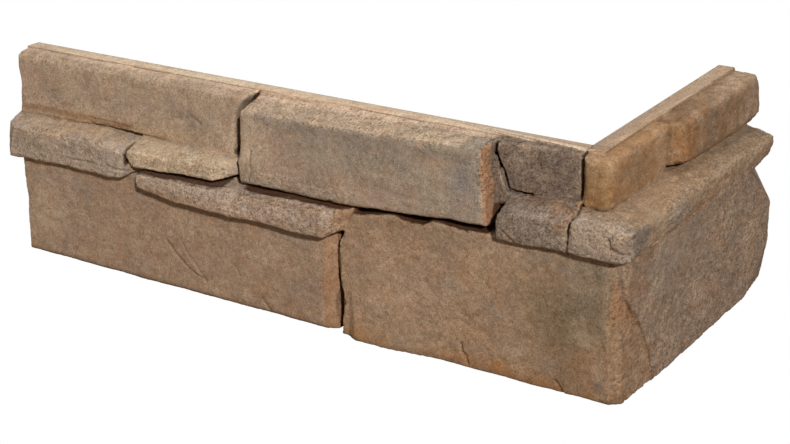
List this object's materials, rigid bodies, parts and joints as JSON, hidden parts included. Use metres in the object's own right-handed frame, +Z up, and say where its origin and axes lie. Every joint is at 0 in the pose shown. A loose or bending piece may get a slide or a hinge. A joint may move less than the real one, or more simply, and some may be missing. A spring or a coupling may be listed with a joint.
{
  "type": "stone cladding corner panel",
  "caption": "Cast corner panel for wall cladding: two flat-backed legs at a right angle with a face of stacked ledge stones that turns the outside corner.",
  "frame": {"origin": "under the middle of the panel's bounding box, on its bed", "axes": "+X along the long leg towards the outside corner, +Z up, the long leg's stones face -Y and the short leg's face +X"},
  "size_m": [0.493, 0.251, 0.15],
  "materials": {
    "cast_stone": "rough"
  },
  "bodies": {
    "root": {"corner_panel": "cast_stone"}
  },
  "joints": []
}
